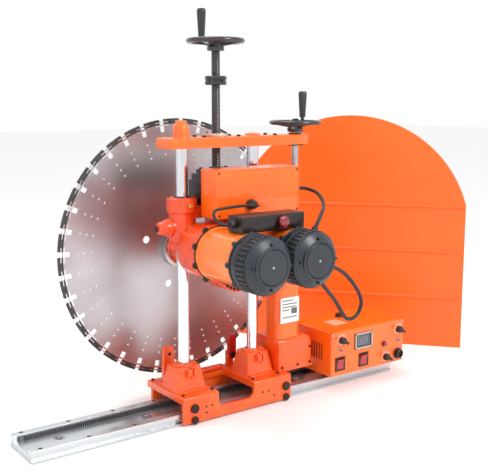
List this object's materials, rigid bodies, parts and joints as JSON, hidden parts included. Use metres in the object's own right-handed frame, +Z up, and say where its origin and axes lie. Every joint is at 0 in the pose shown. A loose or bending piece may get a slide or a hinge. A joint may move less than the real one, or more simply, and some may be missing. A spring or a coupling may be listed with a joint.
{
  "type": "wall saw",
  "caption": "Track-mounted concrete wall saw: rail, carriage on columns, twin-motor head with segmented blade, control box and loose guard.",
  "frame": {"origin": "middle of the rail's underside", "axes": "+X along the rail towards the control box, +Y away from the operator towards the blade, +Z up from the surface that the rail is bolted to"},
  "size_m": [1.2793, 0.759, 0.8775],
  "materials": {
    "orange_paint": "glossy sprayed enamel over castings and sheet",
    "rail_metal": "machined and anodised",
    "machined_steel": "turned or ground steel",
    "hard_chrome": "hard chromed and polished",
    "black_iron": "satin black enamel",
    "black_plastic": "moulded, satin",
    "black_rubber": "matt",
    "red_plastic": "moulded, glossy",
    "red_paint": "glossy enamel",
    "bronze": "turned bearing bronze",
    "blade_steel": "ground saw plate",
    "diamond_bond": "sintered diamond segment",
    "display_glass": "dark meter window in a silver bezel",
    "board_green": "circuit board with its components"
  },
  "bodies": {
    "base": {"rail": "rail_metal", "rack": "machined_steel", "rail_screws": "machined_steel", "control_box_shell": "orange_paint", "control_box_base": "orange_paint", "control_box_feet": "black_rubber", "display": "display_glass", "panel_fittings": "black_plastic", "control_board": "board_green"},
    "carriage": {"carriage_casting": "orange_paint", "carriage_pins": "black_iron", "guide_shoes": "bronze", "columns": "hard_chrome", "top_beam": "orange_paint", "lift_nut": "bronze", "feed_gearbox": "orange_paint", "feed_bushes": "bronze", "feed_motor_housing": "orange_paint", "feed_stator": "machined_steel"},
    "rollers_left": {"rollers_left": "machined_steel"},
    "rollers_right": {"rollers_right": "machined_steel"},
    "feed_output": {"feed_output_shaft": "machined_steel"},
    "feed_hand_shaft": {"feed_shaft": "machined_steel", "feed_handwheel": "black_iron"},
    "feed_grip": {"feed_grip": "black_plastic"},
    "feed_motor": {"feed_rotor": "machined_steel"},
    "lock_lever": {"lock_lever": "red_paint"},
    "head": {"head_casting": "orange_paint", "column_bushes": "bronze", "gear_case_lid": "orange_paint", "motor_gaskets": "black_rubber", "motor_housings": "orange_paint", "motor_caps": "black_plastic", "motor_stators": "machined_steel", "head_bearings": "machined_steel", "thrust_block": "black_iron", "cover_box": "orange_paint", "starter_board": "board_green", "cable_glands": "black_plastic", "switch_box": "black_plastic", "motor_cable": "black_rubber", "switch_cable": "black_rubber", "loop_cable": "black_rubber"},
    "lift_screw": {"lift_screw": "black_iron", "lift_handwheel": "black_iron"},
    "lift_grip": {"lift_grip": "black_plastic"},
    "spindle": {"spindle": "machined_steel", "bull_gear": "machined_steel", "blade_core": "blade_steel", "blade_segments": "diamond_bond", "blade_clamp": "machined_steel"},
    "rotor_left": {"motor_rotor_left": "machined_steel"},
    "rotor_right": {"motor_rotor_right": "machined_steel"},
    "estop_button": {"estop_button": "red_plastic"},
    "rocker_left": {"rocker_left": "red_plastic"},
    "rocker_right": {"rocker_right": "red_plastic"},
    "panel_knob_1": {"panel_knob_1": "black_plastic"},
    "panel_knob_2": {"panel_knob_2": "black_plastic"},
    "panel_knob_3": {"panel_knob_3": "black_plastic"},
    "blade_guard": {"blade_guard": "orange_paint"}
  },
  "joints": [
    {"name": "carriage_traverse", "type": "slide", "parent": "base", "child": "carriage", "axis": [1, 0, 0], "range_m": [-0.3, 0.01]},
    {"name": "feed_output_turn", "type": "hinge", "parent": "carriage", "child": "feed_output", "pos_m": [0.17027, 0.015, 0.04], "axis": [0, 0, 1], "range_deg": [-1150, 40]},
    {"name": "feed_wheel_turn", "type": "hinge", "parent": "carriage", "child": "feed_hand_shaft", "pos_m": [0.203, 0, 0.6], "axis": [0, 0, 1], "range_deg": [-77, 2293]},
    {"name": "feed_motor_turn", "type": "hinge", "parent": "carriage", "child": "feed_motor", "pos_m": [0.15, -0.02006, 0.2], "axis": [0, 0, 1], "range_deg": [-57, 1668]},
    {"name": "rollers_left_turn", "type": "hinge", "parent": "carriage", "child": "rollers_left", "pos_m": [-0.122, 0, 0.0353], "axis": [0, 1, 0], "range_deg": [-1720, 58]},
    {"name": "rollers_right_turn", "type": "hinge", "parent": "carriage", "child": "rollers_right", "pos_m": [0.126, 0, 0.0353], "axis": [0, 1, 0], "range_deg": [-1720, 58]},
    {"name": "lift_screw_turn", "type": "hinge", "parent": "head", "child": "lift_screw", "pos_m": [-0.017, 0, 0.6], "axis": [0, 0, 1], "range_deg": [-3605, 1445]},
    {"name": "head_lift", "type": "slide", "parent": "carriage", "child": "head", "axis": [0, 0, 1], "range_m": [-0.1, 0.04]},
    {"name": "spindle_turn", "type": "hinge", "parent": "head", "child": "spindle", "pos_m": [-0.022, 0.157, 0.341], "axis": [0, 1, 0], "continuous": true},
    {"name": "rotor_left_turn", "type": "hinge", "parent": "head", "child": "rotor_left", "pos_m": [-0.08, -0.2, 0.37034], "axis": [0, 1, 0], "continuous": true},
    {"name": "rotor_right_turn", "type": "hinge", "parent": "head", "child": "rotor_right", "pos_m": [0.036, -0.2, 0.37034], "axis": [0, 1, 0], "continuous": true},
    {"name": "lift_grip_spin", "type": "hinge", "parent": "lift_screw", "child": "lift_grip", "pos_m": [-0.01501, 0.05697, 0.84], "axis": [0, 0, 1], "continuous": true},
    {"name": "feed_grip_spin", "type": "hinge", "parent": "feed_hand_shaft", "child": "feed_grip", "pos_m": [0.24955, 0.03023, 0.665], "axis": [0, 0, 1], "continuous": true},
    {"name": "lock_lever_swing", "type": "hinge", "parent": "carriage", "child": "lock_lever", "pos_m": [0.065, 0.06, 0.089], "axis": [0, 1, 0], "range_deg": [-70, 0]},
    {"name": "estop_press", "type": "slide", "parent": "head", "child": "estop_button", "axis": [0, 1, 0], "range_m": [0, 0.004], "stiffness_N_per_m": 800, "springref_m": -0.002},
    {"name": "rocker_left_tilt", "type": "hinge", "parent": "base", "child": "rocker_left", "pos_m": [0.273, -0.087, 0.065], "axis": [1, 0, 0], "range_deg": [-14, 0]},
    {"name": "rocker_right_tilt", "type": "hinge", "parent": "base", "child": "rocker_right", "pos_m": [0.349, -0.087, 0.063], "axis": [1, 0, 0], "range_deg": [-14, 0]},
    {"name": "panel_knob_1_turn", "type": "hinge", "parent": "base", "child": "panel_knob_1", "pos_m": [0.277, -0.095, 0.122], "axis": [0, 1, 0], "range_deg": [-270, 0]},
    {"name": "panel_knob_2_turn", "type": "hinge", "parent": "base", "child": "panel_knob_2", "pos_m": [0.425, -0.095, 0.055], "axis": [0, 1, 0], "range_deg": [-90, 0]},
    {"name": "panel_knob_3_turn", "type": "hinge", "parent": "base", "child": "panel_knob_3", "pos_m": [0.467, -0.095, 0.119], "axis": [0, 1, 0], "range_deg": [-90, 0]},
    {"name": "guard_lift_off", "type": "slide", "parent": "base", "child": "blade_guard", "axis": [0, 0, 1], "range_m": [0, 0.25]}
  ],
  "couplings": [
    {"joint": "feed_output_turn", "follows": "carriage_traverse", "rad_per_m": 66.667},
    {"joint": "feed_wheel_turn", "follows": "carriage_traverse", "rad_per_m": -133.33},
    {"joint": "feed_motor_turn", "follows": "carriage_traverse", "rad_per_m": -96.97},
    {"joint": "rollers_left_turn", "follows": "carriage_traverse", "rad_per_m": 100},
    {"joint": "rollers_right_turn", "follows": "carriage_traverse", "rad_per_m": 100},
    {"joint": "lift_screw_turn", "follows": "head_lift", "rad_per_m": 628.32},
    {"joint": "rotor_left_turn", "follows": "spindle_turn", "ratio": -3.3333},
    {"joint": "rotor_right_turn", "follows": "spindle_turn", "ratio": -3.3333}
  ]
}
